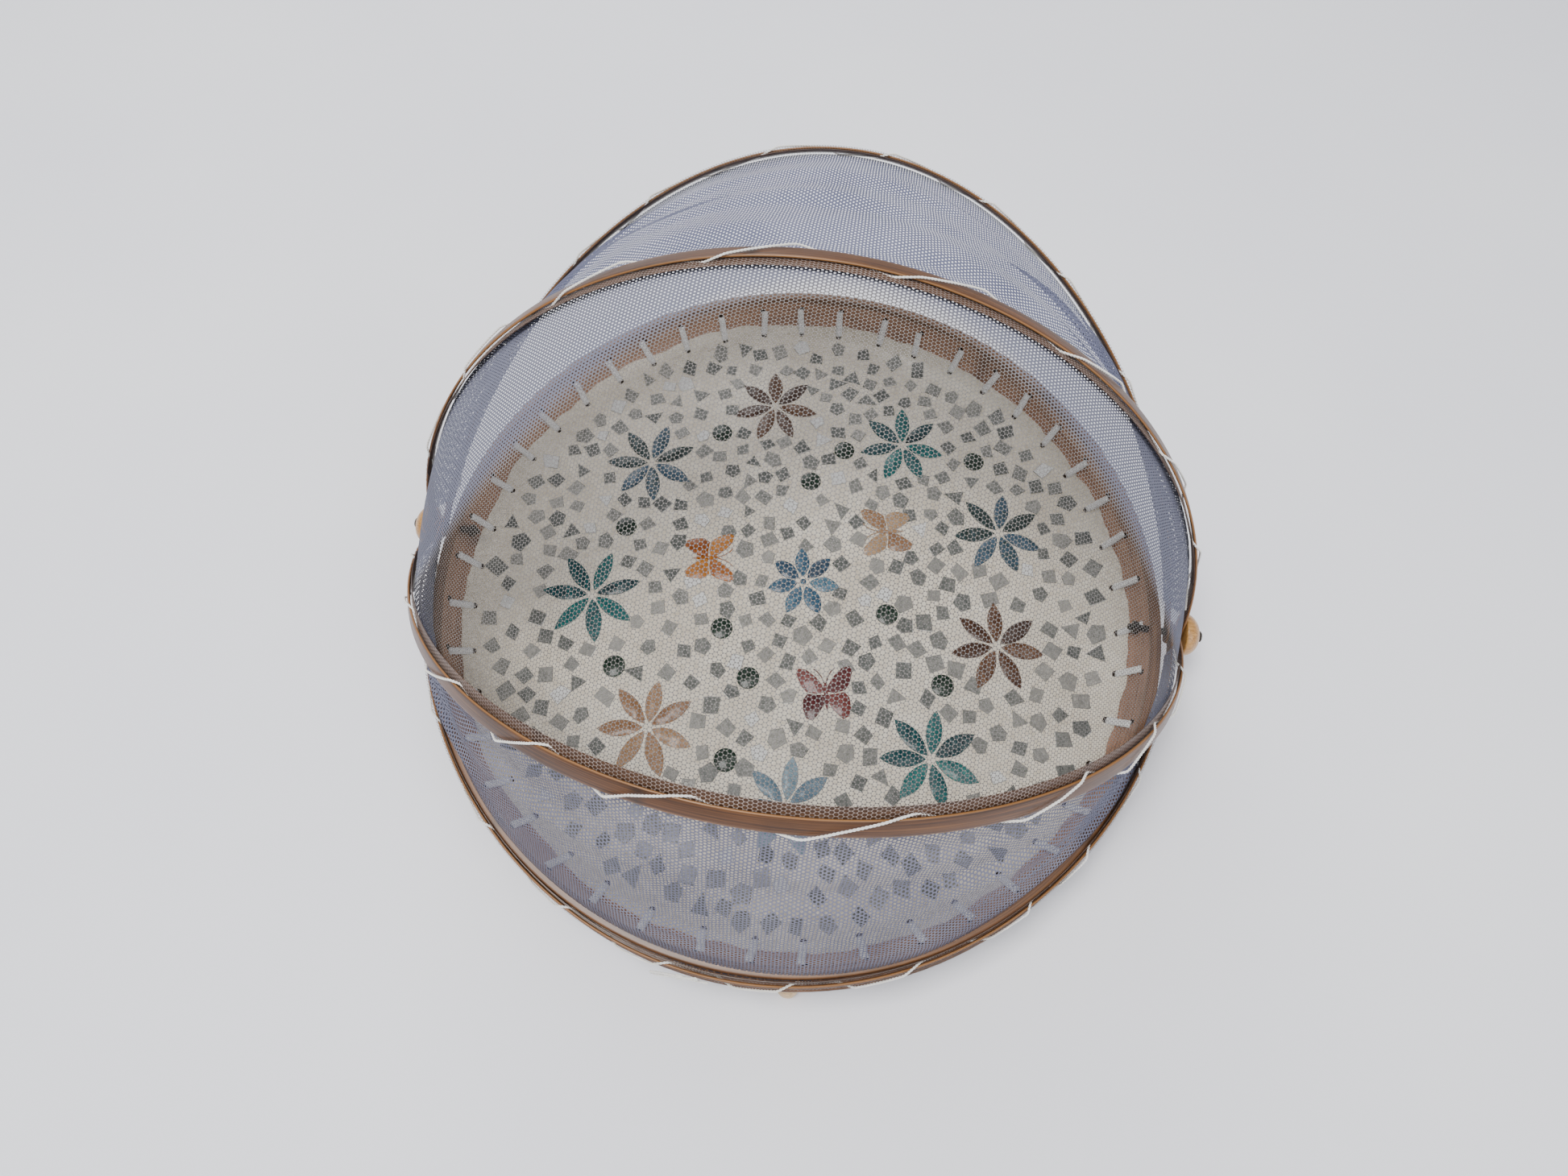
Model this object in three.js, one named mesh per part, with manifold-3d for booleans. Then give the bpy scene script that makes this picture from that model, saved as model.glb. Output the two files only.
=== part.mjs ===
// Round serving tray with a folding net food cover: a bamboo tray with a shell mosaic floor,
// four bent bamboo hoops on one common pivot line, and three net gores between the hoops.
// Millimetres. +X along the pivot line, +Y to the back, +Z up. The origin lies on the ground
// under the middle of the tray.
import * as THREE from "three";
import { mergeVertices } from "three/addons/utils/BufferGeometryUtils.js";
import Module from "manifold-3d";

const wasm = await Module();
wasm.setup();

// ---------------------------------------------------------------- driving dimensions
const GAP = 0.3;              // clearance between pieces that touch
const FOOT_D = 11;            // turned ball foot
const FOOT_FLAT = 1;          // height ground off the top of each ball
const FOOT_CIRCLE_R = 192;
const FOOT_ANGLES = [-82, 8, 98, 188];
const SOLE_R = 1.6;           // flat a ball foot stands on
const PIN_R = 1.4;            // dowel that holds a foot to the board
const PIN_BOTTOM = 4;
const PIN_SINK = 1.6;         // depth of a dowel's end under the top of the board

const BOARD_R = 195;          // round base board
const BOARD_T = 4;
const BOARD_Z = FOOT_D - FOOT_FLAT + GAP;
const BED_Z = BOARD_Z + BOARD_T + GAP;

const RIM_Z = 46;             // top of the tray
const WALL_R = 189.4;         // outside of the wall at the top
const WALL_FOOT_R = 187.5;    // outside of the wall at the board
const WALL_BORE_R = 158;      // inside edge of the wall ring under the mosaic
const RIM_CAP_H = 3.4;
const RIM_CAP_R = 191.2;      // outside of the rim strip
const RIM_CAP_W = 5.4;
const RIM_CAP_EASE = 1;       // softened edges of the rim strip
const BAND_IN = 0.9;          // foot band: distance of its inside from the wall's foot
const BAND_OUT = 2.4;
const BAND_H = 6;
const FLOOR_Z = 19;           // eating surface of the mosaic
const FLOOR_R = 158;          // where the floor starts to curve up
const COVE_R = 181;           // where the tangents at the two ends of the cove meet
const COVE_TOP_R = 186.2;     // inside of the wall under the rim strip
const SKIN_T = 2.4;           // thickness of the mosaic ground on the cove
const LIP_AT = 0.66;          // share of the cove at which the mosaic ground stops
const BARE_AT = 0.67;         // share of the cove at which the bare wall starts

const PIVOT_Z = 39.5;         // height of the pivot line
const SCREW_R = 1.8;
const PIVOT_HOLE_R = 2.1;
const DRILL = [150, 240];     // reach of the pivot drill along X
const STRIP_W = 8;            // bamboo strip of a hoop
const STRIP_T = 1.3;
const HOOP_TAIL = 5.5;        // strip below the pivot line
// half width at the pivots, reach from the pivot line, angle above the front horizon,
// and how much narrower than an ellipse the strip is bent at its middle
const HOOPS = {
  rear_hoop: { a: 195.7, b: 224, angle: 143, pinch: 0.095 },
  front_hoop: { a: 197.6, b: 194, angle: 0, pinch: 0.045 },
  lift_hoop: { a: 199.5, b: 186, angle: 38.7, pinch: 0.045 },
  spine_hoop: { a: 201.4, b: 192, angle: 110.5, pinch: 0 },
};
const HOOP_STEPS = 60;
const BUTTON_R = 11;
const BUTTON_RISE = 8;        // height of the button's dome
const HEAD_R = 2.9;           // screw head
const SHANK_END = 176;        // distance of the screw's tip from the middle of the tray
const NUT_AT = 178.4;         // distance of the nut's inner face from the middle
const NUT_T = 2.6;
const NUT_R = 3.7;            // over the corners
const THREAD_R = 0.5;
const WRAP_OUT = 2.3;         // half the thread's winding, square to the strip
const WRAP_SIDE = 5.4;        // half the thread's winding, along the strip's width
const LASHING_START = 0.14;   // radians from the pivot
const LASHING_TURNS = 6.5;    // turns of thread from one pivot to the other

const ROUND = 48;             // facets of a turned piece
const INLAY_T = 0.8;          // shell pieces set on the ground

// ---------------------------------------------------------------- materials
const finish = (color, roughness, metalness = 0) =>
  new THREE.MeshStandardMaterial({ color, roughness, metalness });
const BAMBOO_DARK = finish(0x6b4526, 0.5);
const BAMBOO = finish(0x96693c, 0.45);
const BAMBOO_PALE = finish(0xc49a62, 0.5);
const BEAD_WOOD = finish(0xd9b98e, 0.45);
const GROUND = finish(0xcdc5b8, 0.35);
const STEEL = finish(0x4a4642, 0.35, 0.9);
const NET = finish(0xe4e2ea, 0.9);
const THREAD = finish(0xdcd8cf, 0.85);
const SHELL = {
  brown: finish(0x5a3d2c, 0.25),
  slate: finish(0x4d5660, 0.25),
  teal: finish(0x1f4f50, 0.25),
  blue: finish(0x5b7885, 0.25),
  tan: finish(0x9a7c5c, 0.25),
  pale: finish(0x9aa3ad, 0.25),
  amber: finish(0xa06a2c, 0.25),
  maroon: finish(0x5d3434, 0.25),
  green: finish(0x1f3a2c, 0.25),
};

// ---------------------------------------------------------------- helpers
const tray = new THREE.Group();

function closed(geometry) {
  const bare = geometry.index ? geometry.toNonIndexed() : geometry.clone();
  bare.deleteAttribute("normal");
  bare.deleteAttribute("uv");
  return mergeVertices(bare, 1e-4);
}

function volume(geometry) {
  const [p, index] = [geometry.attributes.position, geometry.index];
  const [a, b, c] = [new THREE.Vector3(), new THREE.Vector3(), new THREE.Vector3()];
  let sum = 0;
  for (let i = 0; i < index.count; i += 3) {
    a.fromBufferAttribute(p, index.getX(i));
    b.fromBufferAttribute(p, index.getX(i + 1));
    c.fromBufferAttribute(p, index.getX(i + 2));
    sum += a.dot(b.cross(c));
  }
  return sum / 6;
}

function outward(geometry) {
  const whole = closed(geometry);
  if (volume(whole) < 0) {
    const index = whole.index.array;
    for (let i = 0; i < index.length; i += 3) {
      [index[i], index[i + 1]] = [index[i + 1], index[i]];
    }
  }
  return whole;
}

function add(name, geometry, material) {
  const mesh = new THREE.Mesh(outward(geometry), material);
  mesh.name = name;
  tray.add(mesh);
  return mesh;
}

function toManifold(geometry) {
  const whole = outward(geometry);
  return new wasm.Manifold(
    new wasm.Mesh({
      numProp: 3,
      vertProperties: new Float32Array(whole.attributes.position.array),
      triVerts: new Uint32Array(whole.index.array),
    }),
  );
}

function fromManifold(manifold) {
  const mesh = manifold.getMesh();
  const geometry = new THREE.BufferGeometry();
  geometry.setAttribute("position", new THREE.BufferAttribute(mesh.vertProperties, 3));
  geometry.setIndex(new THREE.BufferAttribute(mesh.triVerts, 1));
  return geometry;
}

function cut(geometry, ...cutters) {
  let solid = toManifold(geometry);
  for (const cutter of cutters) {
    solid = solid.subtract(toManifold(cutter));
  }
  return fromManifold(solid);
}

// Profile points are [radius, height]; the last joins the first.
function turned(profile, facets = ROUND) {
  const points = profile.map(([r, z]) => new THREE.Vector2(r, z));
  if (profile[0][0] > 0 || profile.at(-1)[0] > 0) {
    points.push(points[0].clone());
  }
  return new THREE.LatheGeometry(points, facets).rotateX(Math.PI / 2);
}

// A cylinder along X between two X values, on the pivot line.
function pivotRod(radius, x0, x1, facets = 16) {
  return new THREE.CylinderGeometry(radius, radius, Math.abs(x1 - x0), facets)
    .rotateZ(Math.PI / 2)
    .translate((x0 + x1) / 2, 0, PIVOT_Z);
}

const pivotHoles = (radius) => [1, -1].map((side) => pivotRod(radius, side * DRILL[0], side * DRILL[1]));
const rad = THREE.MathUtils.degToRad;

// ---------------------------------------------------------------- tray
// The cove: the curve from the flat floor up to the rim, as points [radius, height].
const cove = new THREE.QuadraticBezierCurve(
  new THREE.Vector2(FLOOR_R, FLOOR_Z),
  new THREE.Vector2(COVE_R, FLOOR_Z + 2),
  new THREE.Vector2(COVE_TOP_R, RIM_Z - RIM_CAP_H - GAP),
);

// Points along the cove, pushed square to it by a depth into the wall.
function covePoints(steps, from, to, depth = 0) {
  const points = [];
  for (let i = 0; i <= steps; i++) {
    const at = from + ((to - from) * i) / steps;
    const p = cove.getPoint(at);
    const along = cove.getTangent(at);
    points.push([p.x + depth * along.y, p.y - depth * along.x]);
  }
  return points;
}

function baseBoard() {
  const edge = 1;
  const top = BOARD_Z + BOARD_T;
  const profile = [
    [0, BOARD_Z],
    [BOARD_R - edge, BOARD_Z],
    [BOARD_R, BOARD_Z + edge],
    [BOARD_R, top - edge],
    [BOARD_R - edge, top],
    [0, top],
  ];
  const pins = FOOT_ANGLES.map((angle) => footRod(PIN_R + GAP, angle, 0, top - 1.2));
  add("base_board", cut(turned(profile), ...pins), BAMBOO_DARK);
}

function wall() {
  const top = RIM_Z - RIM_CAP_H - GAP;
  const bare = covePoints(3, 1, BARE_AT);
  const seat = covePoints(4, BARE_AT, 0, SKIN_T + GAP);
  const profile = [[WALL_FOOT_R, BED_Z], [WALL_R, top], ...bare, ...seat, [WALL_BORE_R, BED_Z]];
  add("tray_wall", cut(turned(profile), ...pivotHoles(PIVOT_HOLE_R)), BAMBOO);
}

function floorPanel() {
  const top = FLOOR_Z - SKIN_T - GAP;
  const panel = turned([
    [0, BED_Z],
    [WALL_BORE_R - GAP, BED_Z],
    [WALL_BORE_R - GAP, top],
    [0, top],
  ]);
  add("floor_panel", panel, BAMBOO_PALE);
}

function mosaicGround() {
  const upper = covePoints(5, 0, LIP_AT);
  const lower = covePoints(4, LIP_AT, 0, SKIN_T);
  const profile = [[0, FLOOR_Z], ...upper, ...lower, [0, FLOOR_Z - SKIN_T]];
  add("mosaic_ground", turned(profile), GROUND);
}

function rimCap() {
  const [low, high] = [RIM_Z - RIM_CAP_H, RIM_Z];
  const [inner, outer] = [RIM_CAP_R - RIM_CAP_W, RIM_CAP_R];
  const profile = [
    [inner, low],
    [outer - RIM_CAP_EASE, low],
    [outer, low + RIM_CAP_EASE],
    [outer, high - RIM_CAP_EASE],
    [outer - RIM_CAP_EASE, high],
    [inner + RIM_CAP_EASE, high],
    [inner, high - RIM_CAP_EASE],
  ];
  add("rim_cap", turned(profile), BAMBOO);
}

function lowerBand() {
  const profile = [
    [WALL_FOOT_R + BAND_IN, BED_Z],
    [WALL_FOOT_R + BAND_OUT, BED_Z],
    [WALL_FOOT_R + BAND_OUT, BED_Z + BAND_H],
    [WALL_FOOT_R + BAND_IN + GAP, BED_Z + BAND_H],
  ];
  add("lower_band", turned(profile), BAMBOO_PALE);
}

// ---------------------------------------------------------------- feet
const PIN_TOP = BOARD_Z + BOARD_T - PIN_SINK;

function footRod(radius, angle, z0, z1) {
  return new THREE.CylinderGeometry(radius, radius, z1 - z0, 8)
    .rotateX(Math.PI / 2)
    .translate(
      FOOT_CIRCLE_R * Math.cos(rad(angle)),
      FOOT_CIRCLE_R * Math.sin(rad(angle)),
      (z0 + z1) / 2,
    );
}

function foot(index, angle) {
  const r = FOOT_D / 2;
  const top = FOOT_D - FOOT_FLAT;
  const profile = [[0, 0], [SOLE_R, 0]];
  const from = Math.asin(SOLE_R / r) - Math.PI / 2;
  const to = Math.asin((top - r) / r);
  const steps = 5;
  for (let i = 1; i <= steps; i++) {
    const at = from + ((to - from) * i) / steps;
    profile.push([r * Math.cos(at), r + r * Math.sin(at)]);
  }
  profile.push([0, top]);
  const ball = turned(profile, 12).translate(
    FOOT_CIRCLE_R * Math.cos(rad(angle)),
    FOOT_CIRCLE_R * Math.sin(rad(angle)),
    0,
  );
  const bore = footRod(PIN_R + GAP, angle, PIN_BOTTOM - GAP, FOOT_D + 2);
  add(`ball_foot_${index}`, cut(ball, bore), BEAD_WOOD);
  add(`foot_dowel_${index}`, footRod(PIN_R, angle, PIN_BOTTOM, PIN_TOP), BAMBOO_PALE);
}

// ---------------------------------------------------------------- hoops
// A point of a hoop in its own plane, at t from 0 at the right pivot to pi at the left.
function hoopOutline({ a, b, pinch }, t, out = 0) {
  const narrow = 1 - pinch * Math.sin(t);
  return new THREE.Vector2((a + out) * Math.cos(t) * narrow, (b + out) * Math.sin(t));
}

function hoop(name, form) {
  const half = STRIP_T / 2;
  const outline = [];
  for (const side of [1, -1]) {
    const run = [new THREE.Vector2(form.a + side * half, -HOOP_TAIL)];
    for (let i = 0; i <= HOOP_STEPS; i++) {
      run.push(hoopOutline(form, (Math.PI * i) / HOOP_STEPS, side * half));
    }
    run.push(new THREE.Vector2(-form.a - side * half, -HOOP_TAIL));
    outline.push(...(side > 0 ? run : run.reverse()));
  }
  const strip = new THREE.ExtrudeGeometry(new THREE.Shape(outline), {
    depth: STRIP_W,
    bevelEnabled: false,
  });
  strip.translate(0, 0, -STRIP_W / 2);
  // the hoop's own plane is X and its reach; tip it from straight up to its angle
  strip.rotateX(rad(180 - form.angle)).translate(0, 0, PIVOT_Z);
  add(name, cut(strip, ...pivotHoles(PIVOT_HOLE_R)), BAMBOO);
}

// The middle of a hoop's strip at parameter t, in the part's frame.
function hoopPoint(form, t, out = 0) {
  const flat = hoopOutline(form, t, out);
  return new THREE.Vector3(
    flat.x,
    -flat.y * Math.cos(rad(form.angle)),
    PIVOT_Z + flat.y * Math.sin(rad(form.angle)),
  );
}

// A thread wound round a hoop in a long spiral.
class LashingCurve extends THREE.Curve {
  constructor(hoopShape, start) {
    super();
    this.hoopShape = hoopShape;
    this.start = start;
  }
  getPoint(u, target = new THREE.Vector3()) {
    const t = this.start + (Math.PI - 2 * this.start) * u;
    const turn = 2 * Math.PI * LASHING_TURNS * u;
    const point = hoopPoint(this.hoopShape, t, WRAP_OUT * Math.cos(turn));
    const side = new THREE.Vector3(
      0,
      Math.sin(rad(this.hoopShape.angle)),
      Math.cos(rad(this.hoopShape.angle)),
    );
    return target.copy(point).addScaledVector(side, WRAP_SIDE * Math.sin(turn));
  }
}
function lashing(name, hoopShape) {
  const section = new THREE.Shape();
  section.absarc(0, 0, THREAD_R, 0, 2 * Math.PI, false);
  const geometry = new THREE.ExtrudeGeometry(section, {
    steps: Math.round(LASHING_TURNS * 10),
    extrudePath: new LashingCurve(hoopShape, LASHING_START),
    curveSegments: 2,
  });
  add(name, geometry, THREAD);
}

// ---------------------------------------------------------------- net gores
// A thin shell between two hoops, narrowing to nothing towards the pivots.
function gore(name, front, back) {
  const margin = 7;           // clear of the strip and its thread
  const half = 0.25;
  const [across, along] = [4, 16];
  const start = 0.2;
  const positions = [];
  const index = [];
  const grid = [];
  for (const side of [1, -1]) {
    for (let i = 0; i <= along; i++) {
      const t = start + ((Math.PI - 2 * start) * i) / along;
      for (let j = 0; j <= across; j++) {
        const reach = Math.min(front.b, back.b) * Math.sin(t);
        const slip = THREE.MathUtils.radToDeg(margin / reach);
        const from = front.angle + slip;
        const to = back.angle - slip;
        const mix = j / across;
        const angle = from + (to - from) * mix;
        const share = (angle - front.angle) / (back.angle - front.angle);
        const between = {
          a: front.a + (back.a - front.a) * share,
          b: front.b + (back.b - front.b) * share,
          pinch: front.pinch + (back.pinch - front.pinch) * share,
          angle,
        };
        grid.push(positions.length / 3);
        positions.push(...hoopPoint(between, t, side * half));
      }
    }
  }
  const at = (side, i, j) => grid[side * (along + 1) * (across + 1) + i * (across + 1) + j];
  const quad = (a, b, c, d) => index.push(a, b, c, a, c, d);
  for (let i = 0; i < along; i++) {
    for (let j = 0; j < across; j++) {
      quad(at(0, i, j), at(0, i + 1, j), at(0, i + 1, j + 1), at(0, i, j + 1));
      quad(at(1, i, j), at(1, i, j + 1), at(1, i + 1, j + 1), at(1, i + 1, j));
    }
    quad(at(0, i, 0), at(1, i, 0), at(1, i + 1, 0), at(0, i + 1, 0));
    quad(at(0, i, across), at(0, i + 1, across), at(1, i + 1, across), at(1, i, across));
  }
  for (let j = 0; j < across; j++) {
    quad(at(0, 0, j), at(0, 0, j + 1), at(1, 0, j + 1), at(1, 0, j));
    quad(at(0, along, j), at(1, along, j), at(1, along, j + 1), at(0, along, j + 1));
  }
  const geometry = new THREE.BufferGeometry();
  geometry.setAttribute("position", new THREE.Float32BufferAttribute(positions, 3));
  geometry.setIndex(index);
  add(name, geometry, NET);
}

// ---------------------------------------------------------------- pivots
function pivot(side, name) {
  const outer = HOOPS.spine_hoop.a + STRIP_T / 2;
  const place = (geometry) => {
    geometry.rotateY(Math.PI / 2);
    if (side < 0) {
      geometry.rotateZ(Math.PI);
    }
    return geometry.translate(0, 0, PIVOT_Z);
  };
  const face = outer + 0.5;
  const dome = [[SCREW_R + GAP, face]];
  dome.push([BUTTON_R - 1, face], [BUTTON_R, face + 1]);
  const mouth = Math.acos((SCREW_R + GAP) / BUTTON_R);
  for (let i = 1; i <= 5; i++) {
    const at = (mouth * i) / 5;
    dome.push([BUTTON_R * Math.cos(at), face + 1 + BUTTON_RISE * Math.sin(at)]);
  }
  add(`pivot_button_${name}`, place(turned(dome, 20)), BAMBOO_PALE);

  const headZ = face + 1 + BUTTON_RISE + 0.1;
  const screw = [
    [0, SHANK_END],
    [SCREW_R, SHANK_END],
    [SCREW_R, headZ],
    [HEAD_R, headZ],
    [HEAD_R, headZ + 0.7],
    [SCREW_R, headZ + 1.3],
    [0, headZ + 1.5],
  ];
  add(`pivot_screw_${name}`, place(turned(screw, 12)), STEEL);

  const nutShape = new THREE.Shape();
  for (let i = 0; i < 6; i++) {
    const at = rad(60 * i + 30);
    nutShape[i ? "lineTo" : "moveTo"](NUT_R * Math.cos(at), NUT_R * Math.sin(at));
  }
  const bore = new THREE.Path();
  bore.absarc(0, 0, SCREW_R + 0.1, 0, 2 * Math.PI, true);
  nutShape.holes.push(bore);
  const nut = new THREE.ExtrudeGeometry(nutShape, {
    depth: NUT_T,
    bevelEnabled: false,
    curveSegments: 12,
  }).translate(0, 0, NUT_AT);
  add(`pivot_nut_${name}`, place(nut), STEEL);
}

// ---------------------------------------------------------------- mosaic motifs
// [name, shell, x, y, reach, turn in degrees]
const FLOWERS = [
  ["flower_middle", "blue", 5, 7, 21, 100],
  ["flower_back", "brown", -29, 120, 26, 100],
  ["flower_back_left", "slate", -96, 69, 27, 82],
  ["flower_back_right", "teal", 51, 104, 26, 96],
  ["flower_right_back", "slate", 111, 54, 26, 88],
  ["flower_left", "teal", -110, -19, 28, 80],
  ["flower_right", "brown", 113, -14, 26, 98],
  ["flower_front_left", "tan", -63, -86, 26, 90],
  ["flower_front_right", "teal", 83, -79, 26, 86],
  ["flower_front", "pale", 14, -113, 25, 92],
];
const BUTTERFLIES = [
  ["butterfly_left", "amber", -50, 13, -80],
  ["butterfly_right", "tan", 48, 45, 100],
  ["butterfly_front", "maroon", 26, -54, 12],
];
const DOTS = [
  [-58, 96], [0, 71], [17, 95], [94, 99], [-101, 25], [-35, -27],
  [53, -5], [-88, -57], [-16, -52], [86, -40], [-20, -96],
];
const DOT_R = 6;
const PETALS = 7;

function inlay(name, shape, shell, x, y, turn) {
  const plate = new THREE.ExtrudeGeometry(shape, {
    depth: INLAY_T,
    bevelEnabled: false,
    curveSegments: 8,
  });
  plate.rotateZ(rad(turn)).translate(x, y, FLOOR_Z + GAP);
  add(name, plate, SHELL[shell]);
}

function flower([name, shell, x, y, reach, turn]) {
  const shape = new THREE.Shape();
  const steps = PETALS * 4;
  for (let i = 0; i < steps; i++) {
    const at = (2 * Math.PI * i) / steps;
    const lobe = Math.abs(Math.cos((PETALS * at) / 2));
    const r = reach * (0.3 + 0.7 * lobe ** 1.2);
    shape[i ? "lineTo" : "moveTo"](r * Math.cos(at), r * Math.sin(at));
  }
  inlay(name, shape, shell, x, y, turn);
}

function butterfly([name, shell, x, y, turn]) {
  // right half from the head round to the tail; the left half mirrors it
  const half = [[2, 7], [9, 14], [15, 16], [16, 9], [12, 2], [5, 0], [13, -6], [14, -14], [7, -13], [2, -6]];
  const outline = [...half, ...half.map(([px, py]) => [-px, py]).reverse()];
  const shape = new THREE.Shape(outline.map(([px, py]) => new THREE.Vector2(px, py)));
  inlay(name, shape, shell, x, y, turn);
}

function dot([x, y], index) {
  const shape = new THREE.Shape();
  shape.absarc(0, 0, DOT_R, 0, 2 * Math.PI, false);
  inlay(`dot_${index + 1}`, shape, "green", x, y, 0);
}

// ---------------------------------------------------------------- assembly
baseBoard();
wall();
floorPanel();
mosaicGround();
rimCap();
lowerBand();
FOOT_ANGLES.forEach((angle, i) => foot(i + 1, angle));
Object.entries(HOOPS).forEach(([name, shape]) => hoop(name, shape));
Object.entries(HOOPS).forEach(([name, shape]) => lashing(name.replace("hoop", "lashing"), shape));
gore("front_net", HOOPS.front_hoop, HOOPS.lift_hoop);
gore("top_net", HOOPS.lift_hoop, HOOPS.spine_hoop);
gore("rear_net", HOOPS.spine_hoop, HOOPS.rear_hoop);
pivot(1, "right");
pivot(-1, "left");
FLOWERS.forEach(flower);
BUTTERFLIES.forEach(butterfly);
DOTS.forEach(dot);

export default tray;
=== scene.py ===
import random
from math import acos, cos, dist, hypot, pi, radians, sin, sqrt

import bmesh
import bpy
from mathutils import Matrix, Vector, noise


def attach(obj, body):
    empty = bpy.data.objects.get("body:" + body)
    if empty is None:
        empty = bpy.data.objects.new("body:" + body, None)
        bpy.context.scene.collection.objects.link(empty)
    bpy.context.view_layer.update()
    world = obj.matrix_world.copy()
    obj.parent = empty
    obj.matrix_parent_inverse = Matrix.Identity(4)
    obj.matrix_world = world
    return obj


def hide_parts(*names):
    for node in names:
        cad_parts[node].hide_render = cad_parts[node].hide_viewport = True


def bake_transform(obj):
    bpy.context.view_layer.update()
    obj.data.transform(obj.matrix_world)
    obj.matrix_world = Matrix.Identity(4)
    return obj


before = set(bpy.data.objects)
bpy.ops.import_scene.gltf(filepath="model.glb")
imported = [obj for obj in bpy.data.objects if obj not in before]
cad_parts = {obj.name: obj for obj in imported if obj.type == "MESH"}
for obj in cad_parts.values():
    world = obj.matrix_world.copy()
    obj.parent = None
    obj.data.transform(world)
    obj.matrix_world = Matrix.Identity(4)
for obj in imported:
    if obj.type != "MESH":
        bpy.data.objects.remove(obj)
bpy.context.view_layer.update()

MM = 0.001
FULL = 2 * pi

# ---- camera, in metres and degrees
EYE = (0.0295, -0.2047, 0.5234)
EYE_TURN, EYE_TILT, EYE_ROLL = 11.3, 30.1, -2.16
EYE_LENS, EYE_SHIFT = 22.31, (0.0106, -0.0822)

# ---- dimensions, in millimetres
PIVOT_Z = 39.5
STRIP_W = 8
STRIP_T = 1.3
HOOP_TAIL = 5.5
# half width at the pivots, reach from the pivot line, angle above the front horizon in degrees,
# and how much narrower than an ellipse the strip is bent at its middle
HOOPS = {
    "rear": dict(a=195.7, b=224, angle=143, pinch=0.095),
    "front": dict(a=197.6, b=194, angle=0, pinch=0.045),
    "lift": dict(a=199.5, b=186, angle=38.7, pinch=0.045),
    "spine": dict(a=201.4, b=192, angle=110.5, pinch=0),
}
# where the thread crosses the outside of each hoop, in degrees from the right pivot
CROSSINGS = {
    "rear": [16, 31, 47, 62, 79, 97, 120, 133, 149, 164],
    "front": [14, 26, 40, 50, 70, 86, 103, 118, 134, 152, 167],
    "lift": [18, 35, 51, 78, 102, 118, 135, 156, 169],
    "spine": [16, 32, 52, 74, 97, 119, 140, 158],
}
PLY_R, PLY_OFF, PLY_PITCH = 0.32, 0.26, 3.0  # each ply of the thread, off its middle line
WRAP_OUT, WRAP_SIDE = 1.75, 5.0  # half the thread's winding round a strip
# the thin strip under each netted hem: width, thickness, how far in and aside, start in radians
INNER_W, INNER_T, INNER_IN, INNER_ASIDE, INNER_START = 7.5, 0.6, 1.7, 4.6, 0.22
NET_INSIDE = STRIP_T / 2 + 1.9  # the gores' edges, inside the hoops' middle lines
HEM_INSIDE = STRIP_T / 2 + 0.45
HEM_SHORT, HEM_LONG = 5.5, 9.5  # a hem's reach to its two sides of the strip
COVER_REACH, COVER_OUT = 5.2, STRIP_T / 2 + 0.3  # net folded over the outside of a strip
BOARD_R, BOARD_T, BOARD_Z = 195, 4, 10.3
BED_Z = 14.6
RIM_Z, RIM_CAP_H = 46, 3.4
RIM_CAP_R, RIM_CAP_W = 191.2, 5.4
WALL_R, WALL_FOOT_R, WALL_BORE_R = 189.4, 187.5, 158
WALL_TOP = RIM_Z - RIM_CAP_H - 0.3
FLOOR_Z, FLOOR_R = 19, 158
COVE = [(FLOOR_R, FLOOR_Z), (181, FLOOR_Z + 2), (186.2, WALL_TOP)]
SKIN_T = 2.4
FOOT_CIRCLE_R = 192
FOOT_ANGLES = [-82, 8, 98, 188]
FOOT_R, FOOT_TOP, DOWEL_FOOT_Z = 5.5, 10, 4
STITCHES = 45
STITCH_R = 175  # lower holes
STITCH_TOP_R = 185.4  # a stitch reaches 0.86 of the way up to here
STITCH_START = 96.7  # degrees
CORD_R, CORD_FLAT = 0.68, 2.9
PETALS, PETAL_W = 7, 4.3
DISC_R = 6
CHIP_GAP, CHIP_REACH, CHIP_TRIES = 10.4, 168.5, 26000
BUTTON_R, BUTTON_RISE = 11, 8
BUTTON_FACE = HOOPS["spine"]["a"] + STRIP_T / 2 + 0.5
SCREW_R, SCREW_END = 1.8, 176
NUT_AT, NUT_T, NUT_R = 178.4, 2.6, 3.7


# ---- mesh helpers
def polar(radius, at):
    return radius * cos(at), radius * sin(at)


def in_scene(name, data):
    made = bpy.data.objects.new(name, data)
    bpy.context.scene.collection.objects.link(made)
    return made


def finished(name, verts, faces, uvs=None, sharp=35):
    """A smooth mesh piece from points in millimetres, with edges sharper than an angle kept."""
    mesh = bpy.data.meshes.new(name)
    mesh.from_pydata([Vector(v) * MM for v in verts], [], faces)
    if uvs:
        layer = mesh.uv_layers.new(name="grain")
        flat = [value for face in uvs for uv in face for value in uv]
        layer.data.foreach_set("uv", flat)
    work = bmesh.new()
    work.from_mesh(mesh)
    bmesh.ops.remove_doubles(work, verts=work.verts, dist=1e-6)
    bmesh.ops.recalc_face_normals(work, faces=work.faces)
    work.to_mesh(mesh)
    work.free()
    mesh.shade_smooth()
    if sharp:
        mesh.set_sharp_from_angle(angle=radians(sharp))
    return in_scene(name, mesh)


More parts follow.
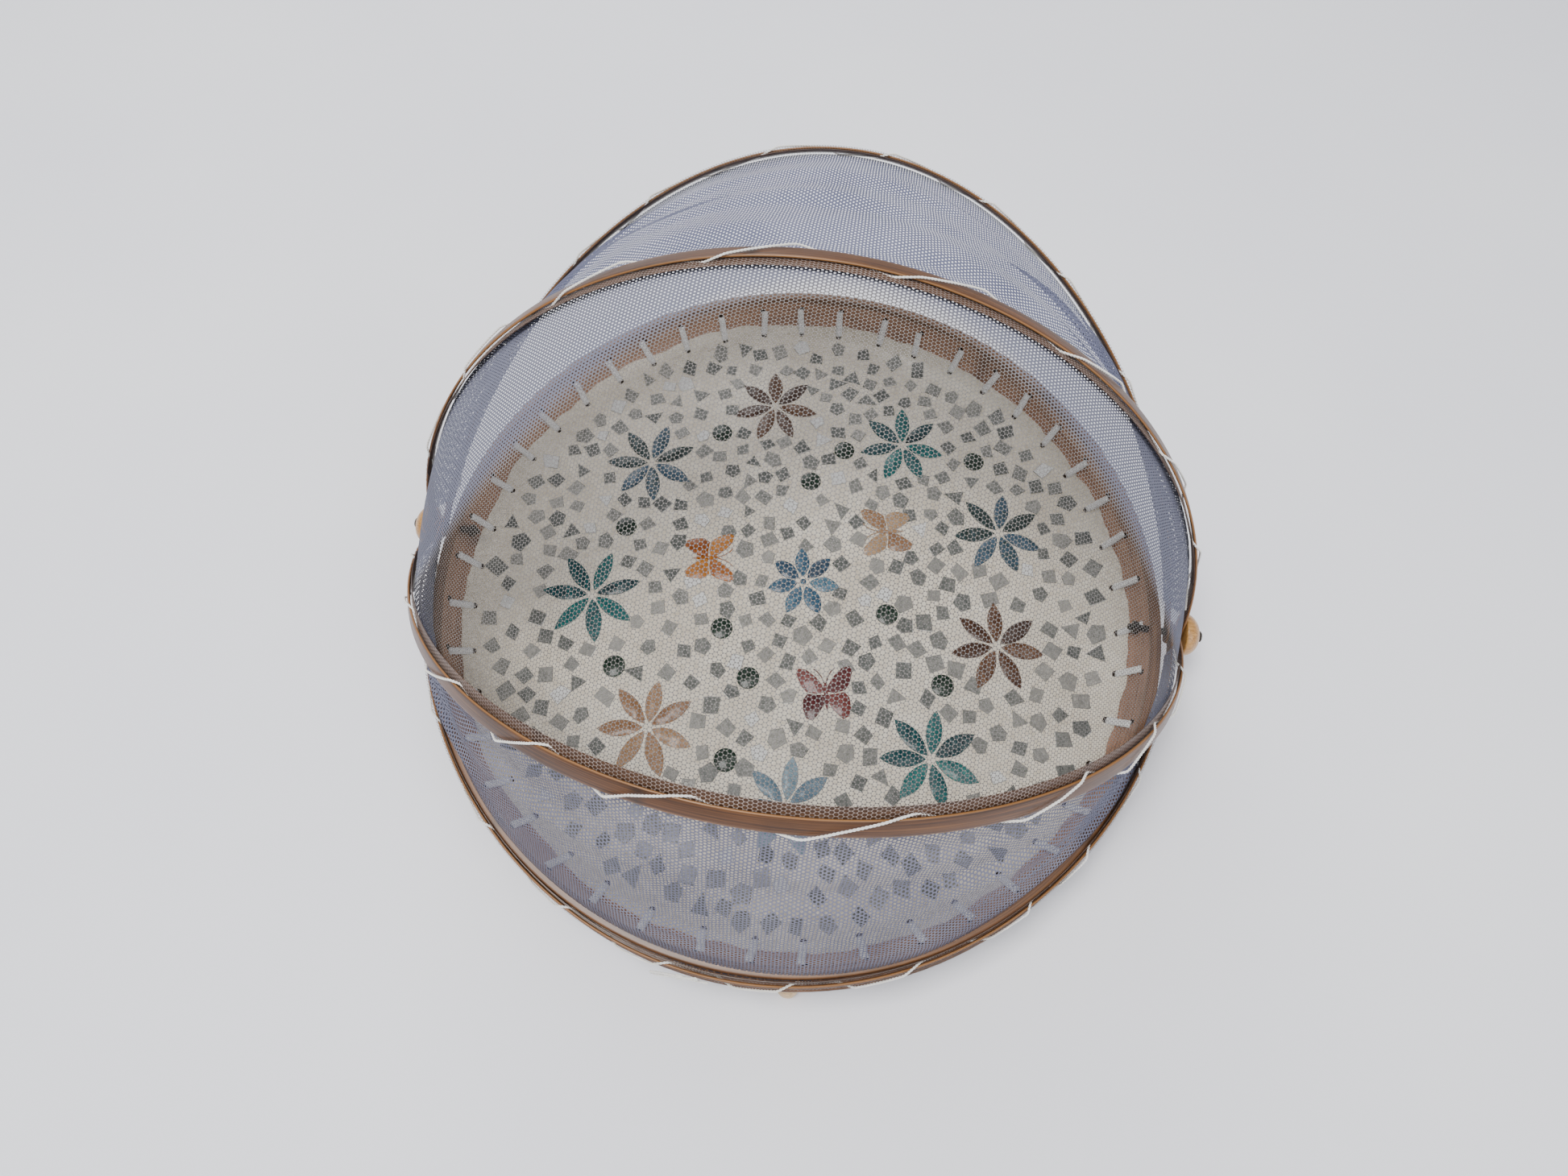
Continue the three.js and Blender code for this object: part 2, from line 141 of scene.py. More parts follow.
class Parts:
    """Faces of several shells collected for one mesh."""

    def __init__(self):
        self.verts, self.faces, self.uvs = [], [], []

    def add(self, verts, faces, uvs):
        base = len(self.verts)
        self.verts += verts
        self.faces += [tuple(base + i for i in face) for face in faces]
        self.uvs += uvs

    def skin(self, rings, along, around, joined=False):
        """Quads between rings of points, as a tube, or as a closed ring when joined.

        along has a layout value for each ring, around one more than a ring has points.
        """
        n = len(rings[0])
        verts = [p for ring in rings for p in ring]
        faces, uvs = [], []
        for i in range(len(rings) if joined else len(rings) - 1):
            j = (i + 1) % len(rings)
            for k in range(n):
                m = (k + 1) % n
                faces.append((i * n + k, i * n + m, j * n + m, j * n + k))
                corners = ((i, k), (i, k + 1), (i + 1, k + 1), (i + 1, k))
                uvs.append([(along[a], around[b]) for a, b in corners])
        if not joined:
            for i in (0, len(rings) - 1):
                faces.append(tuple(i * n + k for k in range(n)))
                uvs.append([(along[i], around[k]) for k in range(n)])
        self.add(verts, faces, uvs)

    def prism(self, outline, low, high, inset, height):
        """A plate with a bevelled top edge; height(x, y) is the ground it lies on."""
        n = len(outline)
        cx = sum(p[0] for p in outline) / n
        cy = sum(p[1] for p in outline) / n
        inner = []
        for x, y in outline:
            r = hypot(x - cx, y - cy)
            share = max(0.0, 1 - inset / max(r, 1e-6))
            inner.append((cx + (x - cx) * share, cy + (y - cy) * share))
        levels = [(outline, low), (outline, high - inset * 0.6), (inner, high)]
        verts = [(x, y, height(x, y) + z) for ring, z in levels for x, y in ring]
        faces = [tuple(range(n)), tuple(range(2 * n, 3 * n))]
        for row in (0, 1):
            for k in range(n):
                m = (k + 1) % n
                faces.append((row * n + k, row * n + m, (row + 1) * n + m, (row + 1) * n + k))
        uvs = [[(verts[i][0], verts[i][1]) for i in face] for face in faces]
        self.add(verts, faces, uvs)

    def build(self, name, sharp=35):
        return finished(name, self.verts, self.faces, self.uvs, sharp)


def softened(profile, radius, steps=3):
    """A closed profile with its corners rounded, apart from those on the axis."""
    out = []
    n = len(profile)
    for i, here in enumerate(profile):
        p, a, b = Vector(here), Vector(profile[i - 1]), Vector(profile[(i + 1) % n])
        if here[0] < 1e-6:
            out.append(tuple(p))
            continue
        reach = min(radius, 0.45 * (a - p).length, 0.45 * (b - p).length)
        start = p + (a - p).normalized() * reach
        end = p + (b - p).normalized() * reach
        for k in range(steps + 1):
            s = k / steps
            out.append(tuple(start * (1 - s) ** 2 + p * 2 * s * (1 - s) + end * s * s))
    return out


def running_length(points):
    """The distance from the first point to each point, along the line through them."""
    total, out = 0.0, [0.0]
    for a, b in zip(points, points[1:]):
        total += dist(a, b)
        out.append(total)
    return out


def turned(name, profile, facets=160, place=lambda x, y, z: (x, y, z)):
    """A piece of revolution; place moves it from the vertical axis to where it belongs."""
    radius = max(p[0] for p in profile)
    rings = []
    for i in range(facets):
        at = FULL * i / facets
        rings.append([place(*polar(r, at), z) for r, z in profile])
    along = [FULL * i / facets * radius for i in range(facets + 1)]
    parts = Parts()
    parts.skin(rings, along, running_length(profile + profile[:1]), joined=True)
    return parts.build(name)


def cross_directions(path, flat=None):
    """Two directions square to the path at each point, the first near flat or else untwisted."""
    points = [Vector(p) for p in path]
    last = len(points) - 1
    across = None
    out = []
    for i in range(last + 1):
        tangent = (points[min(i + 1, last)] - points[max(i - 1, 0)]).normalized()
        if flat:
            across = flat[i]
        elif across is None:
            across = tangent.orthogonal()
        across = (across - tangent * across.dot(tangent)).normalized()
        out.append((across, tangent.cross(across)))
    return out


def tube(parts, path, radius, sides=8, stretch=1.0, flat=None, taper=0):
    """A closed tube along points, thinner over the first and last taper points.

    stretch widens it along flat, a direction for each point.
    """
    rings = []
    last = len(path) - 1
    for i, (across, other) in enumerate(cross_directions(path, flat)):
        size = radius
        if taper and (i < taper or i > last - taper):
            size *= 0.35 + 0.65 * min(i, last - i) / taper
        ring = []
        for k in range(sides):
            at = FULL * k / sides
            ring.append(tuple(
                Vector(path[i])
                + across * (size * stretch * cos(at))
                + other * (size * sin(at))
            ))
        rings.append(ring)
    around = [FULL * k / sides * radius * (1 + stretch) / 2 for k in range(sides + 1)]
    parts.skin(rings, running_length(path), around)


# ---- material helpers
def srgb(r, g, b):
    def linear(c):
        c /= 255
        return c / 12.92 if c <= 0.04045 else ((c + 0.055) / 1.055) ** 2.4
    return (linear(r), linear(g), linear(b), 1.0)


def grey(value):
    return (value, value, value, 1.0)


class Finish:
    """A material's node tree, with short ways to add nodes."""

    def __init__(self, name, **sockets):
        self.material = bpy.data.materials.new(name)
        self.material.use_nodes = True
        self.tree = self.material.node_tree
        self.shader = self.tree.nodes["Principled BSDF"]
        for socket, value in sockets.items():
            self.shader.inputs[socket.replace("_", " ")].default_value = value

    def node(self, kind, sockets=None, **settings):
        made = self.tree.nodes.new(kind)
        for key, value in settings.items():
            setattr(made, key, value)
        for key, value in (sockets or {}).items():
            self.put(made.inputs[key], value)
        return made

    def put(self, socket, value):
        if isinstance(value, bpy.types.NodeSocket):
            self.tree.links.new(value, socket)
        else:
            socket.default_value = value

    def set(self, socket, value):
        self.put(self.shader.inputs[socket], value)

    def calc(self, operation, *values):
        return self.node("ShaderNodeMath", dict(enumerate(values)), operation=operation).outputs[0]

    def plus(self, a, b):
        return self.calc("ADD", a, b)

    def times(self, a, b):
        return self.calc("MULTIPLY", a, b)

    def scaled(self, where, factor):
        sockets = {0: where, 1: factor}
        return self.node("ShaderNodeVectorMath", sockets, operation="MULTIPLY").outputs[0]

    def grain(self, *scale):
        """The place in the piece's grain layout, in millimetres, scaled."""
        return self.scaled(self.node("ShaderNodeUVMap", uv_map="grain").outputs[0], scale)

    def own(self, *scale):
        """The piece's own coordinates, in millimetres, scaled alike or along X, Y and Z."""
        where = self.node("ShaderNodeTexCoord").outputs["Object"]
        return self.scaled(where, tuple(s / MM for s in scale * (3 // len(scale))))

    def noise(self, where, detail, rough, twist=0.0):
        return self.node("ShaderNodeTexNoise", {
            "Vector": where, "Scale": 1.0, "Detail": detail,
            "Roughness": rough, "Distortion": twist,
        }).outputs[0]

    def ramp(self, factor, *stops):
        made = self.node("ShaderNodeValToRGB", {0: factor})
        band = made.color_ramp
        while len(band.elements) < len(stops):
            band.elements.new(0.5)
        for element, (at, colour) in zip(band.elements, stops):
            element.position = at
            element.color = colour
        return made.outputs[0]

    def mix(self, factor, a, b, how="MIX"):
        sockets = {0: factor, 6: a, 7: b}
        return self.node("ShaderNodeMix", sockets, data_type="RGBA", blend_type=how).outputs[2]

    def spread(self, value, low, high):
        sockets = {"Value": value, "To Min": low, "To Max": high}
        return self.node("ShaderNodeMapRange", sockets).outputs[0]

    def shade(self, share, colour, factor, *stops):
        """A colour darkened by a ramp of greys over a factor."""
        greys = [(at, grey(value)) for at, value in stops]
        return self.mix(share, colour, self.ramp(factor, *greys), "MULTIPLY")

    def done(self, colour, height, strength, distance):
        """The material, with its colour and a bump of some strength, distance mm deep."""
        bump = self.node("ShaderNodeBump", {
            "Height": height, "Strength": strength, "Distance": distance * MM,
        })
        self.set("Base Color", colour)
        self.set("Normal", bump.outputs[0])
        return self.material


def bamboo(name, dark, mid, light, source="grain", edge=None, joint=230.0):
    """Split bamboo: long fibres, soft blotches, a painted highlight along the edges and a node ring
    every joint mm.
    """
    f = Finish(name, Coat_Weight=0.25, Coat_Roughness=0.25)
    if source == "grain":
        streak = f.noise(f.grain(0.012, 1.1, 1), 5.0, 0.62, 0.15)
        fibre = f.noise(f.grain(0.05, 6.5, 1), 2.0, 0.5)
        patch = f.noise(f.grain(0.016, 0.05, 1), 3.0, 0.6, 0.4)
    else:
        streak = f.noise(f.own(0.02, 0.9, 0.9), 5.0, 0.6, 0.2)
        fibre = f.noise(f.own(0.06, 4.0, 4.0), 2.0, 0.5)
        patch = f.noise(f.own(0.02, 0.02, 0.05), 3.0, 0.6, 0.4)
    colour = f.ramp(streak, (0.3, srgb(*dark)), (0.5, srgb(*mid)), (0.72, srgb(*light)))
    colour = f.shade(1.0, colour, patch, (0.32, 0.62), (0.5, 0.95), (0.7, 1.0))
    colour = f.shade(0.8, colour, fibre, (0.36, 0.74), (0.52, 1.0))
    height = f.plus(f.times(fibre, 0.7), streak)
    if source == "grain":
        split = f.node("ShaderNodeSeparateXYZ", {0: f.grain(1 / joint, 1, 1)})
        wave = f.plus(split.outputs[0], f.times(patch, 0.02))
        near = f.calc("ABSOLUTE", f.calc("SUBTRACT", f.calc("FRACT", wave), 0.5))
        ring = f.ramp(near, (0.0, grey(1.0)), (0.006, grey(0.8)), (0.02, grey(0.0)))
        colour = f.mix(f.times(ring, 0.6), colour, srgb(*(c * 0.55 for c in dark)))
        height = f.plus(height, f.times(ring, 2.0))
        # painted highlight: with an edge colour given, the strip's edges are painted lighter, as if
        # light catches them
        if edge:
            across = f.calc("ABSOLUTE", split.outputs[1])
            ragged = f.plus(across, f.times(streak, 0.5))
            edge_highlight = f.ramp(f.calc("DIVIDE", ragged, 8.0), (0.46, grey(0.0)), (0.52, grey(1.0)))
            colour = f.mix(f.times(edge_highlight, 0.75), colour, srgb(*edge))
    f.set("Roughness", f.spread(fibre, 0.34, 0.62))
    return f.done(colour, height, 0.35, 0.12)


def turned_wood(name, dark, light):
    """Pale wood with rings across the turning axis and fine pores."""
    f = Finish(name, Coat_Weight=0.3, Coat_Roughness=0.2)
    rings = f.noise(f.own(0.12, 1.4, 1.4), 4.0, 0.6, 0.6)
    pores = f.noise(f.own(0.5, 7, 7), 2.0, 0.5)
    colour = f.ramp(rings, (0.32, srgb(*dark)), (0.66, srgb(*light)))
    colour = f.shade(0.5, colour, pores, (0.34, 0.72), (0.5, 1.0))
    f.set("Roughness", f.spread(pores, 0.28, 0.5))
    return f.done(colour, f.plus(rings, pores), 0.3, 0.08)


def resin_ground():
    """The cream filler between the shell pieces: cloudy, flecked and slightly uneven."""
    f = Finish("ground_resin", Coat_Weight=0.3, Coat_Roughness=0.2, Specular_IOR_Level=0.4)
    cloud = f.noise(f.own(0.02), 4.0, 0.6, 0.3)
    fleck = f.noise(f.own(0.45), 3.0, 0.6)
    grit = f.noise(f.own(2.2), 2.0, 0.5)
    colour = f.ramp(cloud, (0.32, srgb(214, 204, 186)), (0.68, srgb(232, 224, 208)))
    tint = f.ramp(fleck, (0.35, srgb(214, 206, 192)), (0.6, grey(1.0)))
    colour = f.mix(0.55, colour, tint, "MULTIPLY")
    f.set("Roughness", f.spread(grit, 0.35, 0.55))
    height = f.plus(f.times(fleck, 1.6), f.times(grit, 0.4))
    return f.done(colour, height, 0.35, 0.25)


def shell(name, *colours, glint=0.0):
    """Mother-of-pearl or dyed shell: each chip has its own tone, with wavy growth lines and a painted
    sheen.
    """
    f = Finish(name, Coat_Weight=0.3, Coat_Roughness=0.1, Specular_IOR_Level=0.4)
    chip = f.node("ShaderNodeNewGeometry").outputs["Random Per Island"]
    turn = f.times(chip, 6.28)
    spin = f.node(
        "ShaderNodeVectorRotate", {"Vector": f.own(1), "Angle": turn},
        rotation_type="Z_AXIS",
    ).outputs[0]
    growth = f.noise(f.scaled(spin, (0.16, 0.75, 1.0)), 4.0, 0.65, 0.8)
    crystal_and_sheen = f.noise(f.own(0.5), 3.0, 0.6, 0.5)
    step = 1 / (len(colours) - 1)
    stops = [(0.28 + 0.44 * i * step, srgb(*c)) for i, c in enumerate(colours)]
    shade = f.plus(f.times(growth, 0.62), f.times(chip, 0.38))
    colour = f.ramp(shade, *stops)
    # painted sheen: the crystal noise lightens and darkens the colour in patches, up to 1.12 times,
    # standing in for the shimmer of nacre; it also sets roughness and bump
    colour = f.shade(0.7, colour, crystal_and_sheen, (0.4, 0.8), (0.62, 1.12))
    if glint:
        pale = f.calc("GREATER_THAN", chip, 1 - glint)
        colour = f.mix(f.times(pale, 0.75), colour, srgb(236, 236, 234))
    f.set("Roughness", f.spread(crystal_and_sheen, 0.12, 0.42))
    return f.done(colour, f.plus(f.times(growth, 2.0), crystal_and_sheen), 0.8, 0.35)


def mesh_net(name, pitch, thread, light, dark, gathered=0.0):
    """Hexagonal tulle: three crossed waves stand below a level only along the thread lines.

    Where the net is gathered, by the piece's gather attribute, the threads lie closer.
    """
    f = Finish(name, Roughness=0.8, Specular_IOR_Level=0.1)
    where = f.node("ShaderNodeUVMap", uv_map="grain").outputs[0]
    total = None
    for turn in (0, 60, 120):
        k = FULL / (pitch * cos(radians(30)))
        axis = (k * cos(radians(turn)), k * sin(radians(turn)), 0)
        phase = f.node("ShaderNodeVectorMath", {0: where, 1: axis}, operation="DOT_PRODUCT")
        wave = f.calc("COSINE", phase.outputs["Value"])
        total = wave if total is None else f.plus(total, wave)
    if gathered:
        close = f.node("ShaderNodeAttribute", attribute_name="gather").outputs["Fac"]
        total = f.calc("SUBTRACT", total, f.times(close, gathered))
    line = f.node("ShaderNodeMapRange", {
        "Value": total, "From Min": thread + 0.12, "From Max": thread - 0.12,
    }, interpolation_type="SMOOTHSTEP").outputs[0]
    drift = f.noise(f.grain(0.02, 0.02, 1), 3.0, 0.6)
    fibre = f.noise(f.grain(3, 3, 1), 2.0, 0.5)
    colour = f.ramp(drift, (0.3, srgb(*dark)), (0.7, srgb(*light)))
    if gathered:
        colour = f.mix(f.times(close, 0.85), colour, srgb(114, 117, 136))
    colour = f.shade(0.5, colour, fibre, (0.3, 0.75), (0.6, 1.0))
    f.set("Alpha", line)
    return f.done(colour, line, 0.4, 0.15)


def cord_finish(name, light, dark, weave):
    """White thread, a little soiled; weave adds the ribs of a flat cord, with painted shade in the
    grooves between them.
    """
    f = Finish(name, Roughness=0.85, Sheen_Weight=0.3)
    fibre = f.noise(f.grain(2.5, 9, 1), 3.0, 0.6)
    soil = f.noise(f.grain(0.06, 0.3, 1), 3.0, 0.6)
    colour = f.ramp(soil, (0.3, srgb(*dark)), (0.62, srgb(*light)))
    colour = f.shade(0.6, colour, fibre, (0.3, 0.7), (0.56, 1.0))
    height = fibre
    if weave:
        split = f.node("ShaderNodeSeparateXYZ", {0: f.grain(1, 1, 1)})
        tilt = f.calc("PINGPONG", split.outputs[1], 1.4)
        rib = f.calc("SINE", f.times(f.plus(split.outputs[0], tilt), 5.5))
        height = f.plus(fibre, rib)
        # painted shade: the grooves between the ribs are painted darker
        colour = f.shade(0.4, colour, f.spread(rib, 0, 1), (0.0, 0.6), (0.5, 1.0))
    return f.done(colour, height, 0.5, 0.2)


def plain_metal(name, colour):
    """Dull metal with worn patches."""
    f = Finish(name, Metallic=1.0)
    ragged = f.noise(f.own(0.9), 4.0, 0.6)
    fine = f.noise(f.own(6), 2.0, 0.5)
    worn = srgb(*(c * 0.7 for c in colour))
    colour = f.ramp(ragged, (0.3, worn), (0.7, srgb(*colour)))
    f.set("Roughness", f.spread(fine, 0.25, 0.5))
    return f.done(colour, fine, 0.2, 0.05)


def shadow_hole():
    """Painted shade: a dark finish standing for the shadowed inside of a drilled hole."""
    f = Finish("hole_dark", Specular_IOR_Level=0.1)
    shade_variation = f.noise(f.own(1.5), 2.0, 0.5)
    f.set("Base Color", f.ramp(shade_variation, (0.3, srgb(26, 19, 14)), (0.7, srgb(52, 40, 30))))
    f.set("Roughness", f.spread(shade_variation, 0.8, 0.95))
    return f.material


# the hoops' edge colour is the painted highlight along the strips' edges
HOOP_BAMBOO = bamboo("hoop_bamboo", (44, 24, 10), (86, 52, 24), (122, 80, 42), edge=(148, 102, 54))
INNER_BAMBOO = bamboo("inner_bamboo", (50, 32, 20), (84, 56, 38), (108, 78, 54))
WALL_BAMBOO = bamboo("wall_bamboo", (124, 86, 64), (164, 122, 96), (188, 148, 120), joint=400.0)
RIM_BAMBOO = bamboo("rim_bamboo", (78, 48, 28), (116, 78, 48), (142, 102, 66), joint=310.0)
BAND_BAMBOO = bamboo("band_bamboo", (160, 122, 78), (196, 158, 108), (218, 184, 136), joint=290.0)
BOARD_BAMBOO = bamboo("board_bamboo", (66, 40, 22), (98, 64, 38), (124, 84, 52), source="own")
PANEL_BAMBOO = bamboo("panel_bamboo", (150, 112, 70), (186, 148, 98), (208, 174, 126), source="own")
BUTTON_WOOD = turned_wood("button_wood", (150, 104, 52), (204, 156, 92))
BEAD_WOOD = turned_wood("bead_wood", (196, 160, 116), (226, 196, 154))
GROUND = resin_ground()
# the stitch holes are dark discs of painted shade
HOLE_SHADE = shadow_hole()
STEEL = plain_metal("screw_steel", (92, 86, 80))
NET_TAUT = mesh_net("net_taut", 1.9, -0.98, (132, 128, 126), (112, 108, 106), gathered=2.1)
NET_SLACK = mesh_net("net_slack", 1.9, 0.12, (130, 130, 146), (104, 105, 124), gathered=0.9)
NET_DOUBLE = mesh_net("net_double", 1.9, 1.15, (116, 119, 142), (94, 97, 122), gathered=0.5)
HEM = mesh_net("net_hem", 1.9, -0.9, (168, 152, 144), (130, 114, 106))
THREAD = cord_finish("thread_white", (248, 246, 242), (226, 223, 215), False)
STITCH = cord_finish("stitch_cord", (250, 250, 248), (232, 230, 226), True)
CHIPS = shell("shell_grey", (72, 76, 72), (104, 106, 100), (132, 131, 124), (164, 161, 152), glint=0.07)
SHELLS = {
    "brown": shell("shell_brown", (44, 24, 12), (80, 48, 26), (124, 84, 48)),
    "slate": shell("shell_slate", (18, 32, 22), (34, 56, 54), (52, 82, 104), (92, 84, 62)),
    "teal": shell("shell_teal", (0, 30, 36), (0, 66, 70), (0, 96, 94), (10, 128, 112)),
    "blue": shell("shell_blue", (14, 40, 62), (40, 76, 100), (80, 118, 138), (58, 80, 60)),
    "tan": shell("shell_tan", (124, 86, 56), (150, 112, 78), (172, 140, 104)),
    "pale": shell("shell_pale", (74, 98, 116), (106, 132, 146), (146, 160, 166)),
    "amber": shell("shell_amber", (122, 52, 0), (156, 84, 0), (182, 112, 14)),
    "maroon": shell("shell_maroon", (56, 10, 14), (88, 26, 28), (120, 58, 52)),
    "green": shell("shell_green", (0, 26, 10), (2, 48, 24), (14, 76, 42)),
}


def dress(piece, material):
    piece.data.materials.clear()
    piece.data.materials.append(material)


def give(piece, material, body, slot, *nodes):
    """Material, body, slot (not used) and the CAD nodes that the piece stands for."""
    dress(piece, material)
    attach(piece, body)
    if nodes:
        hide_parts(*nodes)
    return piece


# ---- camera, floor and light
def camera():
    data = bpy.data.cameras.new("camera")
    data.lens = EYE_LENS
    data.sensor_width = 36
    data.shift_x, data.shift_y = EYE_SHIFT
    data.clip_start = 0.01
    eye = in_scene("camera", data)
    aim = (
        Matrix.Rotation(radians(EYE_TURN), 4, "Z")
        @ Matrix.Rotation(radians(EYE_TILT), 4, "X")
        @ Matrix.Rotation(radians(EYE_ROLL), 4, "Z")
    )
    eye.matrix_world = Matrix.Translation(EYE) @ aim
    bpy.context.scene.camera = eye


def studio():
    """A pale floor, a dim even sky and three soft lamps."""
    f = Finish("floor_pale", Roughness=0.8)
    mottle = f.noise(f.own(0.004), 3.0, 0.5)
    f.set("Base Color", f.ramp(mottle, (0.3, srgb(240, 241, 249)), (0.7, srgb(246, 247, 252))))
    half = 4000
    corners = [(-half, -half, 0), (half, -half, 0), (half, half, 0), (-half, half, 0)]
    floor = finished("floor", corners, [(0, 1, 2, 3)])
    floor.data.materials.append(f.material)
    world = bpy.data.worlds.new("studio")
    world.use_nodes = True
    back = world.node_tree.nodes["Background"]
    back.inputs["Color"].default_value = (0.93, 0.95, 1.0, 1.0)
    back.inputs["Strength"].default_value = 0.5
    bpy.context.scene.world = world
    for name, place, size, power, tint in (
        ("key", (-0.35, -0.2, 1.75), 0.6, 32, (1.0, 0.985, 0.96)),
        ("fill", (1.5, -1.3, 1.6), 1.6, 26, (0.97, 0.98, 1.0)),
        ("back", (-0.9, 1.7, 1.5), 1.4, 20, (0.97, 0.98, 1.0)),
    ):
        data = bpy.data.lights.new(name, "AREA")
        data.size = size
        data.energy = power
        data.color = tint
        lamp = in_scene(name, data)
        lamp.location = place
        aim = Vector((0, 0, 0.05)) - Vector(place)
        lamp.rotation_euler = aim.to_track_quat("-Z", "Y").to_euler()


# ---- tray
def cove_point(s, depth=0.0):
    """Radius and height on the cove, s from 0 at the floor to 1 at the rim, depth mm under it."""
    (r0, z0), (r1, z1), (r2, z2) = COVE
    r = (1 - s) ** 2 * r0 + 2 * s * (1 - s) * r1 + s * s * r2
    z = (1 - s) ** 2 * z0 + 2 * s * (1 - s) * z1 + s * s * z2
    dr = 2 * (1 - s) * (r1 - r0) + 2 * s * (r2 - r1)
    dz = 2 * (1 - s) * (z1 - z0) + 2 * s * (z2 - z1)
    length = hypot(dr, dz)
    return (r + depth * dz / length, z - depth * dr / length)


def cove_at(radius):
    """The cove parameter at a radius."""
    low, high = 0.0, 1.0
    for _ in range(30):
        middle = (low + high) / 2
        if cove_point(middle)[0] < radius:
            low = middle
        else:
            high = middle
    return (low + high) / 2


def floor_height(x, y):
    """Height of the mosaic's surface, flat in the middle and rising with the cove."""
    r = hypot(x, y)
    return FLOOR_Z if r <= FLOOR_R else cove_point(cove_at(r))[1]


def tray_body():
    """Wall ring, rim strip, foot band and base board, and the materials of the shown CAD nodes."""
    bare = [cove_point(1 - 0.52 * i / 14, 0.5) for i in range(15)]
    seat = [cove_point(0.42 * (1 - i / 6), SKIN_T + 0.3) for i in range(7)]
    outside = [
        (WALL_FOOT_R, BED_Z), (WALL_FOOT_R + 0.9, 24), (WALL_FOOT_R + 1.6, 34), (WALL_R, WALL_TOP),
    ]
    wall = turned("wall_ring", outside + bare + seat + [(WALL_BORE_R, BED_Z)])
    give(wall, WALL_BAMBOO, "tray", "bamboo", "tray_wall")

    low, high = RIM_Z - RIM_CAP_H, RIM_Z
    inner, outer = RIM_CAP_R - RIM_CAP_W, RIM_CAP_R
    cap = softened([(inner, low), (outer - 0.2, low), (outer, high), (inner + 0.3, high)], 1.2, 4)
    give(turned("rim_strip", cap, 200), RIM_BAMBOO, "tray", "bamboo", "rim_cap")

    band = softened([
        (WALL_FOOT_R + 0.9, BED_Z), (WALL_FOOT_R + 2.4, BED_Z),
        (WALL_FOOT_R + 2.4, BED_Z + 6), (WALL_FOOT_R + 1.3, BED_Z + 6),
    ], 0.5)
    give(turned("foot_band", band, 200), BAND_BAMBOO, "tray", "bamboo_pale", "lower_band")

    top = BOARD_Z + BOARD_T
    board = [(0, BOARD_Z)]
    # shallow turned rings under the board, as the lathe leaves them
    for i in range(1, 12):
        r = i * 16
        board += [(r - 0.8, BOARD_Z), (r, BOARD_Z + 0.35), (r + 0.8, BOARD_Z)]
    edge = softened([(0, BOARD_Z), (BOARD_R, BOARD_Z), (BOARD_R, top), (0, top)], 1.4, 4)
    give(turned("turned_board", board + edge[1:]), BOARD_BAMBOO, "tray", "bamboo_dark", "base_board")

    dress(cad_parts["floor_panel"], PANEL_BAMBOO)
    for i in range(len(FOOT_ANGLES)):
        dress(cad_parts[f"foot_dowel_{i + 1}"], PANEL_BAMBOO)


def feet():
    """Turned balls, flat at the sole and bored for their dowels."""
    for i, angle in enumerate(FOOT_ANGLES):
        x0, y0 = polar(FOOT_CIRCLE_R, radians(angle))
        ball = [(0, 0), (1.6, 0)]
        for k in range(1, 17):
            at = radians(-73 + (73 + 54) * k / 16)
            ball.append((FOOT_R * cos(at), FOOT_R + FOOT_R * sin(at)))
        ball += [(1.7, FOOT_TOP), (1.7, DOWEL_FOOT_Z), (0, DOWEL_FOOT_Z)]
        bead = turned(f"bead_foot_{i + 1}", ball, 40, lambda x, y, z: (x + x0, y + y0, z))
        give(bead, BEAD_WOOD, "tray", "bead_wood", f"ball_foot_{i + 1}")


def mosaic_floor():
    """The filler: flat, turned up along the cove and ending in an uneven lip."""
    facets = 240
    parts = Parts()
    rings = []
    for i in range(facets):
        at = FULL * i / facets
        wander = noise.noise(Vector((cos(at) * 5, sin(at) * 5, 0.3)))
        ripple = noise.noise(Vector((cos(at) * 17, sin(at) * 17, 4.1)))
        lip = 0.60 + 0.075 * wander + 0.05 * ripple
        ring = [(r, FLOOR_Z) for r in (0, 40, 80, 120, 145)]
        ring += [cove_point(lip * k / 14) for k in range(15)]
        ring += [cove_point(lip + (0.45 - lip) * k / 3, 0.46) for k in range(4)]
        ring += [cove_point(0.42 * (1 - k / 5), SKIN_T) for k in range(6)]
        ring.append((0, FLOOR_Z - SKIN_T))
        rings.append([(*polar(r, at), z) for r, z in ring])
    along = [FULL * i / facets * FLOOR_R for i in range(facets + 1)]
    parts.skin(rings, along, [float(k) for k in range(len(rings[0]) + 1)], joined=True)
    ground = parts.build("mosaic_bed", 40)
    give(ground, GROUND, "tray", "shell_ground", "mosaic_ground")


# name, shell, place, reach of the petals, and the first petal's direction in degrees
FLOWERS = [
    ("flower_middle", "blue", 5, 7, 21, 100),
    ("flower_back", "brown", -29, 120, 26, 100),
    ("flower_back_left", "slate", -96, 69, 27, 82),
    ("flower_back_right", "teal", 51, 104, 26, 96),
    ("flower_right_back", "slate", 111, 54, 26, 88),
    ("flower_left", "teal", -110, -19, 28, 80),
    ("flower_right", "brown", 113, -14, 26, 98),
    ("flower_front_left", "tan", -63, -86, 26, 90),
    ("flower_front_right", "teal", 83, -79, 26, 86),
    ("flower_front", "pale", 14, -113, 25, 92),
]
# name, shell, place and direction in degrees
BUTTERFLIES = [
    ("butterfly_left", "amber", -50, 13, -80),
    ("butterfly_right", "tan", 48, 45, 100),
    ("butterfly_front", "maroon", 26, -54, 12),
]
DOTS = [
    (-58, 96), (0, 71), (17, 95), (94, 99), (-101, 25), (-35, -27),
    (53, -5), (-88, -57), (-16, -52), (86, -40), (-20, -96),
]


